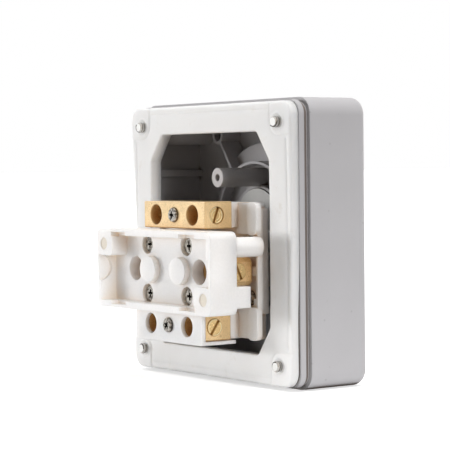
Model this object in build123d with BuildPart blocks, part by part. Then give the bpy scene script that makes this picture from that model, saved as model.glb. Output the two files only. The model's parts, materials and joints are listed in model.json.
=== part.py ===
from build123d import *
import os
from math import atan2, cos, degrees, hypot, radians, sin

os.makedirs("parts", exist_ok=True)

# All sizes are in millimetres. Y runs to the rear, Z up, and the sealing face is at Y = 0.

# Gasket: the opening that the mechanism passes through, and the frame around it
opening_x = 36.8
frame_x = 13.7
frame_z = 11.5
cut_x = 7.3
cut_z = 10.0
opening_round = 2.5
gasket_t = 3.5
gasket_lip = 4.6
gasket_inset = 1.3
gasket_corner = 5.0
gasket_fit = 0.3
gasket_bevel = 0.6

# Housing
case_corner = 6.0
wall = 3.6
plate = 3.2
front_round = 3.0
rim_band = 2.3
rim_step = 0.9
groove_width = 1.7
groove_depth = 1.6
column_r = 6.5
screw_inset = 8.5

# Captive cover screws: threaded tip, thin neck, slotted head on a washer
screw_r = 1.85
neck_r = 1.5
screw_tip = 2.0
tip_bevel = 0.4
screw_play = 0.15
neck_play = 0.05
head_r = 3.6
head_t = 2.4
head_sink = 5.5
head_room = 1.0
washer_t = 0.8
slot_w = 1.0
slot_t = 1.1

# Round well for the handle, above the middle, with the walls behind it
axis_z = 5.5
well_r = 27.0
well_depth = 5.0
well_floor = 2.4
boss_r = 30.0
ring_r = 23.3
ring_w = 1.0
ring_t = 4.5
hub_r = 14.6
hub_bore = 13.5
hub_t = 2.6
collar_r = 11.5
collar_t = 3.2
shaft_r = 8.0
shaft_play = 0.05

# Post, tubes and ribs inside the housing
post_r = 3.5
post_hole = 1.3
post_z = 22.9
post_rear = -4.7
post_depth = 14.0
tube_r = 3.2
tube_hole = 2.1
tube_x = 22.7
tube_z = 38.6
tube_depth = 6.0
web_t = 1.1
rib_z = 24.5
rib_w = 2.6
rib_d = 1.9
rib_drop = 5.3

# Off ring and on bar moulded into the front
sign_inset = 9.0
sign_depth = 0.4
ring_sign_r = 2.6
sign_line = 0.9
bar_sign_len = 5.2

# Handle
handle_gap = 0.4
handle_rise = 1.5
handle_edge = 1.0
grip_len = 46.0
grip_w = 15.0
grip_top = 10.0
grip_rise = 17.5
grip_round = 1.5
grip_root = 1.0
lock_hole_r = 3.6
lock_hole_x = 14.5
key_side = 9.0
key_t = 1.8
key_play = 0.05
seal_d = 1.6
seal_groove = 6.4
seal_width = 2.2
seal_play = 0.01

# Crank with its off-centre peg
crank_gap = 0.3
crank_t = 2.8
peg_throw = 9.75
peg_r = 2.5
peg_round = 0.6
peg_end_gap = 0.3
crank_screw_r = 2.0
crank_head_r = 3.8
crank_head_t = 1.8
crank_screw_len = 5.0

# Screw holes and cross recesses
thread_play = 0.03
hole_play = 0.15
pilot_extra = 1.0
cross_w = 0.8
cross_t = 0.9

# Mechanism base: plate, wings, end walls and posts
mech_z = -9.75
base_x = 30.4
base_half_z = 24.1
base_corner = 2.0
base_rear = -1.3
base_t = 2.0
shelf_rear = 0.2
wing_x = 32.7
wing_w = 5.6
wing_h = 11.6
wing_rear = 2.4
wing_t = 2.3
wing_corner = 2.2
bite = 0.3
end_wall_x = 32.0
end_wall_w = 1.0
end_wall_rise = 2.7
end_wall_low = 14.8
rib_h = 3.3
ledge_h = 2.7
ledge_w = 3.0
ledge_dz = 11.0
ledge_rise = 1.9
standoff_r = 3.5
standoff_x = 32.0
standoff_dz = 8.75
cover_post_r = 3.0
mech_screw_x = 24.5
mech_head_gap = 0.5
mech_post_r = 3.6
mech_screw_r = 1.5
mech_head_r = 2.7
mech_head_t = 1.8
mech_screw_grip = 9.0

# Brass bars with two cable tunnels each
bar_x = 19.3
bar_h = 9.6
bar_front = 2.9
bar_depth = 11.7
bar_dz = 19.6
earth_rise = 1.0
bar_edge = 0.35
bar_hole_x = 11.4
tunnel_r = 3.65
seat_margin = 0.5

# Slotted terminal screws with a thinner point
grub_r = 3.05
grub_play = 0.03
grub_len = 2.6
grub_proud = 0.35
grub_sunk = 0.6
grub_point_r = 1.9
grub_point_gap = 0.1
neutral_grub_y = 9.6
earth_grub_y = 11.1

# Turn of each slot in degrees and how far its screw stands out, for both ends of each bar
neutral_grubs = ((20, -grub_sunk), (-35, grub_proud))
earth_grubs = ((35, grub_proud), (50, grub_proud))
earth_fix_turn = 35

# Cross-head screws that fix the bars
fix_r = 1.6
fix_head_r = 2.55
fix_head_t = 1.5
fix_sink = 0.4
fix_grip = 3.4
fix_round = 0.7

# Cover over the earth bar
bar_cover_x = 20.6
bar_cover_gap = 0.2
bar_cover_t = 1.6
bar_cover_lip = 1.2
bar_cover_lip_front = 2.2
bar_cover_corner = 0.8

# Terminal blocks under the terminal cover
block_hole_x = 20.1
block_side = 7.9
block_h = 9.8
block_front = 1.1
block_bevel = 1.4
pad_w = 7.0
pad_h = 6.8
pad_shift = 2.0

# Terminal cover, a tray open to the rear
tray_x = 36.1
tray_half_z = 14.35
tray_rear = 24.5
tray_front = 13.4
tray_floor_rear = 17.9
tray_floor_t = 2.5
tray_wall = 2.4
tray_corner = 2.6
tray_hole_r = 4.45
tray_sleeve_wall = 1.1
tray_sleeve_gap = 0.15
tray_boss_x = 9.4
tray_boss_r = 4.8
tray_boss_t = 2.2
tray_screw_x = 12.4
tray_screw_dz = 8.85
tray_bore_r = 3.45
tray_bore_t = 2.5
tray_bore_wall = 1.0
tray_bore_floor = 0.8
tray_screw_r = 1.4
tray_head_r = 2.7
tray_head_t = 1.4
tray_screw_grip = 8.0
corner_w = 9.9
corner_tall = 9.6
corner_inset = 0.2
corner_round = 1.6
thin_r = 4.7
thin_t = 1.2
mark_r = 2.2
mark_t = 0.3
mark_inset = 4.5
mark_dz = 8.8
pocket_x = 21.9
pocket_w = 9.8
pocket_t = 1.3
pocket_deep = 3.2
pocket_lap = 0.4
leg_tall = 7.3
leg_dz = 8.3
leg_front = 7.6
leg_w = 7.0

# Contacts, from the terminals down to the tips
strip_t = 1.0
strip_w = 3.3
strip_gap = 0.1
strip_x = 22.6
strip_foot = 3.8
strip_in = 8.5
strip_play = 0.4
contact_tip_x = 12.0
contact_tip_r = 2.0
contact_tip_t = 0.8
contact_gap = 3.5
contact_play = 0.1

# Moving bridge, its follower and the cam slide
bridge_x = 14.5
bridge_w = 5.6
bridge_t = 1.2
bridge_round = 1.5
carrier_x = 5.0
carrier_half_z = 10.9
carrier_t = 2.5
foot_x = 3.0
foot_w = 4.0
foot_len = 1.7
foot_bite = 0.5
slide_x = 9.0
slide_half_z = 11.2
slide_t = 3.18
slide_play = 0.12
slot_play = 0.45

# Opening spring
spring_r = 3.2
spring_wire = 0.35
spring_turns = 3.5
spring_gap = 0.05

# Contact chamber with its two screws
chamber_x = 18.0
chamber_half_z = 13.2
chamber_wall = 1.6
chamber_corner = 1.5
chamber_gap = 0.7
ear_x = 12.0
ear_r = 3.4
ear_t = 2.2
ear_dz = 16.2
ear_bite = 0.8
chamber_screw_r = 1.2
chamber_head_r = 2.1
chamber_head_t = 1.3
chamber_screw_grip = 3.0
peg_room = 1.1

# Depths that follow from the stack of contacts, slide, chamber, crank and well
base_front = base_rear - base_t
strip_rear = base_front - strip_gap
strip_front = strip_rear - strip_t
tip_front = strip_front - contact_tip_t
bridge_tip_rear = tip_front - contact_play - contact_gap
bridge_rear = bridge_tip_rear - contact_tip_t
bridge_front = bridge_rear - bridge_t
carrier_front = bridge_front - carrier_t
foot_front = carrier_front - foot_len
ramp = foot_front - contact_play
slide_front = ramp - slide_t
chamber_inner = slide_front - slide_play
chamber_front = chamber_inner - chamber_wall
crank_rear = chamber_front - chamber_gap - crank_head_t
crank_front = crank_rear - crank_t
key_rear = crank_front + key_t
well_rear = crank_front - crank_gap
well_front = well_rear - well_floor
case_front = well_front - well_depth
plate_rear = case_front + plate
peg_end = foot_front - peg_end_gap

# Other sizes that follow
half = opening_x + frame_x
opening_z = half - frame_z
pitch = half - screw_inset
inner_half = half - wall
gasket_half = half - gasket_inset
spigot_half = inner_half - gasket_fit
rim_front = -gasket_t - rim_band
wall_rear = rim_front - groove_width
hub_rear = well_rear + hub_t
ring_rear = well_rear + ring_t
collar_front = well_front - collar_t
head_rear = case_front + head_sink - washer_t
handle_r = well_r - handle_gap
handle_front = case_front - handle_rise
handle_rear = well_front - handle_gap
throw = peg_throw * sin(radians(45))
peg_low = axis_z - peg_throw
peg_high = axis_z - throw
slope = contact_gap / (2 * throw)
top_z = mech_z + bar_dz
low_z = mech_z - bar_dz
bar_rear = bar_front + bar_depth
block_rear = block_front + bar_depth
block_out = block_hole_x + block_side
block_grub_y = block_front + bar_depth / 2
tray_floor_front = tray_floor_rear - tray_floor_t
tray_seat = tray_floor_rear - tray_bore_t - tray_bore_floor
earth_front = bar_front + earth_rise
bar_cover_front = bar_rear + earth_rise + bar_cover_gap
bar_cover_rear = bar_cover_front + bar_cover_t
bar_cover_low = low_z - bar_h / 2 - bar_cover_gap - bar_cover_lip
bar_cover_top = low_z + bar_h / 2 + bar_cover_gap
spring_front = bridge_rear + spring_wire + spring_gap
spring_len = base_front - spring_gap - spring_wire - spring_front
wing_dz = base_half_z - wing_h / 2
mech_screw_dz = wing_dz - wing_h / 2 + bite - mech_head_gap - mech_head_r
tube_reach = hypot(tube_x, tube_z - axis_z)
tube_turn = degrees(atan2(tube_z - axis_z, tube_x))


def back(y):
    # Plane at depth y: X across, Z up, extrusions run to the front
    return Plane.XZ.offset(-y)


def on_axis(y):
    # The same plane with its middle on the axis of the handle
    return Plane((0, y, axis_z), x_dir=(1, 0, 0), z_dir=(0, -1, 0))


def around(x, dz):
    # Four places about the middle of the mechanism
    return [(sx * x, mech_z + sz * dz) for sx in (-1, 1) for sz in (-1, 1)]


def turned(x, dz):
    # Two places that change over by a half turn about the middle of the mechanism
    return [(x, mech_z + dz), (-x, mech_z - dz)]


def sides(x, z):
    # Two places to the left and right at height z
    return [(x, z), (-x, z)]


def opening_points():
    # Outline of the cut-cornered opening
    a = opening_x - cut_x
    b = opening_z - cut_z
    right = [(opening_x, -b), (opening_x, b), (a, opening_z)]
    return right + [(-a, opening_z), (-opening_x, b), (-opening_x, -b), (-a, -opening_z), (a, -opening_z)]


corners = [(sx * pitch, sz * pitch) for sx in (-1, 1) for sz in (-1, 1)]
mech_spots = around(mech_screw_x, mech_screw_dz)
tray_spots = around(tray_screw_x, tray_screw_dz)
ear_spots = turned(ear_x, ear_dz)
cable_spots = sides(block_hole_x, mech_z)
bar_seats = ((top_z, bar_front), (low_z, earth_front))

# Housing
with BuildPart() as housing:
    with BuildSketch(back(wall_rear)):
        RectangleRounded(2 * half, 2 * half, case_corner)
    extrude(amount=wall_rear - case_front)
    fillet(housing.edges().group_by(Axis.Y)[0], front_round)
    for depth, inset, rear in ((groove_width, groove_depth, rim_front), (rim_band, rim_step, -gasket_t)):
        with BuildSketch(back(rear)):
            RectangleRounded(2 * (half - inset), 2 * (half - inset), case_corner - inset)
        extrude(amount=depth)
    with BuildSketch(back(-gasket_t)):
        RectangleRounded(2 * inner_half, 2 * inner_half, case_corner - wall)
    extrude(amount=-gasket_t - plate_rear, mode=Mode.SUBTRACT)
    # screw columns in the corners
    with BuildSketch(back(-gasket_lip)):
        with Locations(*corners):
            Circle(column_r)
    extrude(amount=-gasket_lip - plate_rear)
    # round boss, ring wall and hub behind the handle
    with BuildSketch(on_axis(well_rear)):
        Circle(boss_r)
    extrude(amount=well_rear - plate_rear)
    with BuildSketch(on_axis(ring_rear)):
        Circle(ring_r)
        Circle(ring_r - ring_w, mode=Mode.SUBTRACT)
    extrude(amount=ring_t)
    with BuildSketch(on_axis(hub_rear)):
        Circle(hub_r)
    extrude(amount=hub_t)
    # post on the centre line, and a tube on each side with a web to the ring
    with BuildSketch(back(post_rear)):
        with Locations((0, post_z)):
            Circle(post_r)
    extrude(amount=post_rear - plate_rear)
    web_in = ring_r - ring_w / 2
    web_mid = (web_in + tube_reach) / 2
    with BuildSketch(back(ring_rear)):
        with Locations(*sides(tube_x, tube_z)):
            Circle(tube_r)
        for turn in (tube_turn, 180 - tube_turn):
            with Locations((web_mid * cos(radians(turn)), axis_z + web_mid * sin(radians(turn)))):
                Rectangle(tube_reach - web_in, web_t, rotation=turn)
    extrude(amount=ring_rear - plate_rear)
    # posts that carry the mechanism
    with BuildSketch(back(base_front)):
        with Locations(*mech_spots):
            Circle(mech_post_r)
    extrude(amount=base_front - plate_rear)
    # ribs along both side walls
    with BuildSketch(back(post_rear - rib_drop)):
        with Locations(*sides(inner_half, rib_z)):
            Rectangle(2 * rib_d, rib_w)
    extrude(amount=post_rear - rib_drop - plate_rear)
    # crank recess, handle well, collar and shaft bore
    with BuildSketch(on_axis(hub_rear)):
        Circle(hub_bore)
    extrude(amount=hub_t, mode=Mode.SUBTRACT)
    with BuildSketch(on_axis(well_front)):
        Circle(well_r)
    extrude(amount=well_depth, mode=Mode.SUBTRACT)
    with BuildSketch(on_axis(well_front)):
        Circle(collar_r)
    extrude(amount=collar_t)
    with BuildSketch(on_axis(well_rear)):
        Circle(shaft_r + shaft_play)
    extrude(amount=well_rear - collar_front, mode=Mode.SUBTRACT)
    # screw holes and their front counterbores
    with BuildSketch(back(0)):
        with Locations(*corners):
            Circle(neck_r + screw_play)
    extrude(amount=-case_front, mode=Mode.SUBTRACT)
    with BuildSketch(back(case_front + head_sink)):
        with Locations(*corners):
            Circle(head_r + head_room)
    extrude(amount=head_sink, mode=Mode.SUBTRACT)
    # pilot holes
    with BuildSketch(back(post_rear)):
        with Locations((0, post_z)):
            Circle(post_hole)
    extrude(amount=post_depth, mode=Mode.SUBTRACT)
    with BuildSketch(back(ring_rear)):
        with Locations(*sides(tube_x, tube_z)):
            Circle(tube_hole)
    extrude(amount=tube_depth, mode=Mode.SUBTRACT)
    with BuildSketch(back(base_front)):
        with Locations(*mech_spots):
            Circle(mech_screw_r + thread_play)
    extrude(amount=mech_screw_grip + pilot_extra, mode=Mode.SUBTRACT)
    # off ring and on bar in the front face
    with BuildSketch(back(case_front + sign_depth)):
        with Locations((sign_inset - half, axis_z)):
            Circle(ring_sign_r)
            Circle(ring_sign_r - sign_line, mode=Mode.SUBTRACT)
        with Locations((0, half - sign_inset)):
            Rectangle(sign_line, bar_sign_len)
    extrude(amount=sign_depth, mode=Mode.SUBTRACT)
housing.part.label = "housing"
export_step(housing.part, "parts/housing.step")

# Gasket
with BuildPart() as gasket:
    with BuildSketch(back(0)):
        RectangleRounded(2 * gasket_half, 2 * gasket_half, gasket_corner)
    extrude(amount=gasket_t)
    with BuildSketch(back(-gasket_t)):
        RectangleRounded(2 * spigot_half, 2 * spigot_half, case_corner - wall)
    extrude(amount=gasket_lip - gasket_t)
    chamfer(gasket.edges().group_by(Axis.Y)[-1], gasket_bevel)
    with BuildSketch(back(0)) as opening:
        Polygon(*opening_points(), align=None)
        fillet(opening.vertices(), opening_round)
    extrude(amount=gasket_lip, mode=Mode.SUBTRACT)
    with BuildSketch(back(0)):
        with Locations(*corners):
            Circle(screw_r + neck_play)
    extrude(amount=gasket_lip, mode=Mode.SUBTRACT)
gasket.part.label = "gasket"
export_step(gasket.part, "parts/gasket.step")

# Captive cover screws: the tip is wider than the housing's hole for the neck
with BuildPart() as cover_screws:
    with BuildSketch(back(screw_tip)):
        with Locations(*corners):
            Circle(screw_r)
    extrude(amount=screw_tip)
    chamfer(cover_screws.edges().group_by(Axis.Y)[-1], tip_bevel)
    with BuildSketch(back(0)):
        with Locations(*corners):
            Circle(neck_r)
    extrude(amount=-head_rear)
    with BuildSketch(back(head_rear)):
        with Locations(*corners):
            Circle(head_r)
    extrude(amount=head_t)
    with BuildSketch(back(head_rear - head_t + slot_t)):
        with Locations(*corners):
            Rectangle(2 * (head_r + seat_margin), slot_w)
    extrude(amount=slot_t, mode=Mode.SUBTRACT)
cover_screws.part.label = "cover_screws"
export_step(cover_screws.part, "parts/cover_screws.step")

# Washers under the screw heads
with BuildPart() as cover_screw_washers:
    with BuildSketch(back(head_rear + washer_t)):
        with Locations(*corners):
            Circle(head_r)
            Circle(neck_r + neck_play, mode=Mode.SUBTRACT)
    extrude(amount=washer_t)
cover_screw_washers.part.label = "cover_screw_washers"
export_step(cover_screw_washers.part, "parts/cover_screw_washers.step")

# Handle: round base, lever bar and spindle in one
with BuildPart() as handle:
    with BuildSketch(on_axis(handle_rear)):
        Circle(handle_r)
    extrude(amount=handle_rear - handle_front)
    fillet(handle.edges().group_by(Axis.Y)[0], handle_edge)
    with BuildSketch(on_axis(handle_front + grip_root)):
        SlotOverall(grip_len, grip_w)
    with BuildSketch(on_axis(handle_front - grip_rise)):
        SlotOverall(grip_len - grip_w + grip_top, grip_top)
    loft()
    fillet(handle.edges().group_by(Axis.Y)[0], grip_round)
    # hole for a padlock
    with BuildSketch(Plane.XY.offset(axis_z - grip_w)):
        with Locations((lock_hole_x, handle_front - grip_rise / 2)):
            Circle(lock_hole_r)
    extrude(amount=2 * grip_w, mode=Mode.SUBTRACT)
    # room for the collar, then the spindle with its seal groove and square key
    with BuildSketch(on_axis(handle_rear)):
        Circle(collar_r + handle_gap)
    extrude(amount=handle_rear - collar_front + handle_gap, mode=Mode.SUBTRACT)
    with BuildSketch(on_axis(crank_front)):
        Circle(shaft_r)
    extrude(amount=crank_front - collar_front + handle_gap + grip_root)
    with BuildSketch(on_axis(well_front + seal_width / 2)):
        Circle(shaft_r + seat_margin)
        Circle(seal_groove, mode=Mode.SUBTRACT)
    extrude(amount=seal_width, mode=Mode.SUBTRACT)
    with BuildSketch(on_axis(key_rear)):
        Rectangle(key_side, key_side)
    extrude(amount=key_t)
    with BuildSketch(on_axis(key_rear)):
        Circle(crank_screw_r + thread_play)
    extrude(amount=crank_screw_len + pilot_extra, mode=Mode.SUBTRACT)
handle.part.label = "handle"
export_step(handle.part, "parts/handle.step")

# Seal ring in the spindle groove
with BuildPart() as handle_o_ring:
    with BuildSketch(Plane.XY.offset(axis_z)):
        with Locations((seal_groove + seal_d / 2 + seal_play, well_front)):
            Circle(seal_d / 2)
    revolve(axis=Axis((0, 0, axis_z), (0, 1, 0)))
handle_o_ring.part.label = "handle_o_ring"
export_step(handle_o_ring.part, "parts/handle_o_ring.step")

# Crank disc with its peg, in the off position
with BuildPart() as drive_crank:
    with BuildSketch(on_axis(crank_rear)):
        Circle(hub_bore - crank_gap)
    extrude(amount=crank_t)
    with BuildSketch(on_axis(key_rear)):
        Rectangle(key_side + 2 * key_play, key_side + 2 * key_play)
    extrude(amount=key_t, mode=Mode.SUBTRACT)
    with BuildSketch(on_axis(crank_rear)):
        Circle(crank_screw_r + hole_play)
    extrude(amount=crank_t, mode=Mode.SUBTRACT)
    with BuildSketch(back(peg_end)):
        with Locations((throw, peg_high)):
            Circle(peg_r)
    extrude(amount=peg_end - crank_rear)
    fillet(drive_crank.edges().group_by(Axis.Y)[-1], peg_round)
drive_crank.part.label = "drive_crank"
export_step(drive_crank.part, "parts/drive_crank.step")

# Screw that joins crank and handle
with BuildPart() as crank_screw:
    with BuildSketch(on_axis(crank_rear + crank_head_t)):
        Circle(crank_head_r)
    extrude(amount=crank_head_t)
    with BuildSketch(on_axis(crank_rear)):
        Circle(crank_screw_r)
    extrude(amount=crank_rear - key_rear + crank_screw_len)
    with BuildSketch(on_axis(crank_rear + crank_head_t)):
        Rectangle(crank_head_r, cross_w)
        Rectangle(cross_w, crank_head_r)
    extrude(amount=cross_t, mode=Mode.SUBTRACT)
crank_screw.part.label = "crank_screw"
export_step(crank_screw.part, "parts/crank_screw.step")

# Mechanism base
with BuildPart() as mechanism_base:
    with BuildSketch(back(base_rear)):
        with Locations((0, mech_z)):
            RectangleRounded(2 * base_x, 2 * base_half_z, base_corner)
    extrude(amount=base_t)
    # shelves along both bars, with wings that overhang the four corners
    with BuildSketch(back(shelf_rear)):
        with Locations((0, mech_z - wing_dz), (0, mech_z + wing_dz)):
            Rectangle(2 * (base_x - base_corner), wing_h - 2 * bite)
    extrude(amount=shelf_rear - base_rear)
    with BuildSketch(back(wing_rear)):
        with Locations(*around(wing_x - wing_w / 2, wing_dz)):
            RectangleRounded(wing_w, wing_h, wing_corner)
    extrude(amount=wing_t)
    # end walls beside the terminals, with a rib and a ledge behind each
    end_wall_len = end_wall_low + base_half_z - wing_corner
    with BuildSketch(back(base_rear + end_wall_rise)):
        with Locations(*turned(end_wall_x - end_wall_w / 2, end_wall_low - end_wall_len / 2)):
            Rectangle(end_wall_w, end_wall_len)
    extrude(amount=end_wall_rise + base_t)
    with BuildSketch(back(base_rear)):
        with Locations(*sides((base_x + end_wall_x) / 2 - end_wall_w, mech_z)):
            Rectangle(end_wall_x - base_x + end_wall_w, 2 * end_wall_low)
    extrude(amount=base_t)
    rib_in = strip_x + strip_foot + strip_play
    rib_out = end_wall_x - end_wall_w / 2
    with BuildSketch(back(block_front - strip_play)):
        with Locations(*sides((rib_in + rib_out) / 2, mech_z)):
            Rectangle(rib_out - rib_in, rib_h)
    extrude(amount=block_front - strip_play - base_rear)
    with BuildSketch(back(base_rear + ledge_rise)):
        with Locations(*turned(rib_out - ledge_w / 2, ledge_dz)):
            Rectangle(ledge_w, ledge_h)
    extrude(amount=ledge_rise)
    # standoffs that meet the terminal cover, and posts for its screws
    with BuildSketch(back(tray_front)):
        with Locations(*turned(standoff_x, -standoff_dz)):
            Circle(standoff_r)
    extrude(amount=tray_front - base_rear - end_wall_rise + bite)
    with BuildSketch(back(tray_seat)):
        with Locations(*tray_spots):
            Circle(cover_post_r)
    extrude(amount=tray_seat - base_rear)
    # pedestals under the bars and pads under the terminal blocks
    for z, rear in bar_seats:
        with BuildSketch(back(rear)):
            with Locations((0, z)):
                Rectangle(2 * (bar_x - bar_edge), bar_h - 2 * bar_edge)
        extrude(amount=rear - base_rear)
    with BuildSketch(back(block_front)):
        with Locations(*sides(block_hole_x - pad_shift, mech_z)):
            Rectangle(pad_w, pad_h)
    extrude(amount=block_front - base_rear)
    # windows for the contact strips
    with BuildSketch(back(base_rear)):
        with Locations(*sides(strip_x + strip_t / 2, mech_z)):
            Rectangle(strip_t + 2 * strip_play, strip_w + 2 * strip_play)
    extrude(amount=base_t, mode=Mode.SUBTRACT)
    # screw holes
    with BuildSketch(back(base_rear)):
        with Locations(*mech_spots):
            Circle(mech_screw_r + hole_play)
    extrude(amount=base_t, mode=Mode.SUBTRACT)
    with BuildSketch(back(tray_seat)):
        with Locations(*tray_spots):
            Circle(tray_screw_r + thread_play)
    extrude(amount=tray_screw_grip + pilot_extra, mode=Mode.SUBTRACT)
    for z, rear in bar_seats:
        with BuildSketch(back(rear)):
            with Locations((0, z)):
                Circle(fix_r + thread_play)
        extrude(amount=fix_grip + bite, mode=Mode.SUBTRACT)
    with BuildSketch(back(base_front + chamber_screw_grip + bite)):
        with Locations(*ear_spots):
            Circle(chamber_screw_r + thread_play)
    extrude(amount=chamber_screw_grip + bite, mode=Mode.SUBTRACT)
mechanism_base.part.label = "mechanism_base"
export_step(mechanism_base.part, "parts/mechanism_base.step")

# Screws that hold the base to the housing posts
with BuildPart() as mechanism_screws:
    with BuildSketch(back(base_rear + mech_head_t)):
        with Locations(*mech_spots):
            Circle(mech_head_r)
    extrude(amount=mech_head_t)
    with BuildSketch(back(base_rear)):
        with Locations(*mech_spots):
            Circle(mech_screw_r)
    extrude(amount=base_t + mech_screw_grip)
    with BuildSketch(back(base_rear + mech_head_t)):
        with Locations(*mech_spots):
            Rectangle(mech_head_r, cross_w)
            Rectangle(cross_w, mech_head_r)
    extrude(amount=cross_t, mode=Mode.SUBTRACT)
mechanism_screws.part.label = "mechanism_screws"
export_step(mechanism_screws.part, "parts/mechanism_screws.step")

# Terminal cover, a tray open to the rear
with BuildPart() as terminal_cover:
    with BuildSketch(back(tray_rear)):
        with Locations((0, mech_z)):
            RectangleRounded(2 * tray_x, 2 * tray_half_z, tray_corner)
    extrude(amount=tray_rear - tray_front)
    for rear, front in ((tray_rear, tray_floor_rear), (tray_floor_front, tray_front)):
        with BuildSketch(back(rear)):
            with Locations((0, mech_z)):
                Rectangle(2 * (tray_x - tray_wall), 2 * (tray_half_z - tray_wall))
        extrude(amount=rear - front, mode=Mode.SUBTRACT)
    # corner blocks, level with the rim
    corner_x = tray_x - corner_w / 2 - corner_inset
    corner_dz = tray_half_z - corner_tall / 2 - corner_inset
    with BuildSketch(back(tray_rear)):
        with Locations(*turned(corner_x, corner_dz)):
            RectangleRounded(corner_w, corner_tall, corner_round)
    extrude(amount=tray_rear - tray_floor_rear)
    # thin half rounds in the end walls and thin places in the long walls
    for side in (-1, 1):
        with BuildSketch(Plane.YZ.offset(side * (tray_x - tray_wall))):
            with Locations((tray_rear, mech_z)):
                Circle(thin_r)
        extrude(amount=side * thin_t, mode=Mode.SUBTRACT)
    with BuildSketch(back(tray_rear)):
        with Locations(*around(pocket_x, tray_half_z - tray_wall + (pocket_t - pocket_lap) / 2)):
            Rectangle(pocket_w, pocket_t + pocket_lap)
    extrude(amount=pocket_deep, mode=Mode.SUBTRACT)
    # bosses on the floor, sleeves and screw wells under it
    with BuildSketch(back(tray_floor_rear + tray_boss_t)):
        with Locations(*sides(tray_boss_x, mech_z)):
            Circle(tray_boss_r)
    extrude(amount=tray_boss_t)
    with BuildSketch(back(tray_floor_front)):
        with Locations(*cable_spots):
            Circle(tray_hole_r + tray_sleeve_wall)
    extrude(amount=tray_floor_front - block_rear - tray_sleeve_gap)
    with BuildSketch(back(tray_floor_front)):
        with Locations(*tray_spots):
            Circle(tray_bore_r + tray_bore_wall)
    extrude(amount=tray_floor_front - tray_seat)
    # cable holes and stepped screw holes
    with BuildSketch(back(tray_floor_rear + tray_boss_t)):
        with Locations(*cable_spots):
            Circle(tray_hole_r)
    extrude(amount=tray_floor_rear + tray_boss_t - block_rear, mode=Mode.SUBTRACT)
    well_end = tray_floor_rear - tray_bore_t
    for hole_r, hole_end in ((tray_bore_r, well_end), (tray_screw_r + hole_play, tray_seat)):
        with BuildSketch(back(tray_floor_rear)):
            with Locations(*tray_spots):
                Circle(hole_r)
        extrude(amount=tray_floor_rear - hole_end, mode=Mode.SUBTRACT)
    # shallow round marks in the corner blocks
    with BuildSketch(back(tray_rear)):
        with Locations(*turned(tray_x - mark_inset, mark_dz)):
            Circle(mark_r)
    extrude(amount=mark_t, mode=Mode.SUBTRACT)
    # legs under two corners
    with BuildSketch(back(tray_floor_front)):
        with Locations(*turned(tray_x - leg_w / 2, leg_dz)):
            Rectangle(leg_w, leg_tall)
    extrude(amount=tray_floor_front - leg_front)
terminal_cover.part.label = "terminal_cover"
export_step(terminal_cover.part, "parts/terminal_cover.step")

# Screws of the terminal cover, deep in their wells
with BuildPart() as terminal_cover_screws:
    with BuildSketch(back(tray_floor_rear - tray_bore_t + tray_head_t)):
        with Locations(*tray_spots):
            Circle(tray_head_r)
    extrude(amount=tray_head_t)
    with BuildSketch(back(tray_floor_rear - tray_bore_t)):
        with Locations(*tray_spots):
            Circle(tray_screw_r)
    extrude(amount=tray_bore_floor + tray_screw_grip)
    with BuildSketch(back(tray_floor_rear - tray_bore_t + tray_head_t)):
        with Locations(*tray_spots):
            Rectangle(tray_head_r, cross_w)
            Rectangle(cross_w, tray_head_r)
    extrude(amount=cross_t, mode=Mode.SUBTRACT)
terminal_cover_screws.part.label = "terminal_cover_screws"
export_step(terminal_cover_screws.part, "parts/terminal_cover_screws.step")

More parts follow.
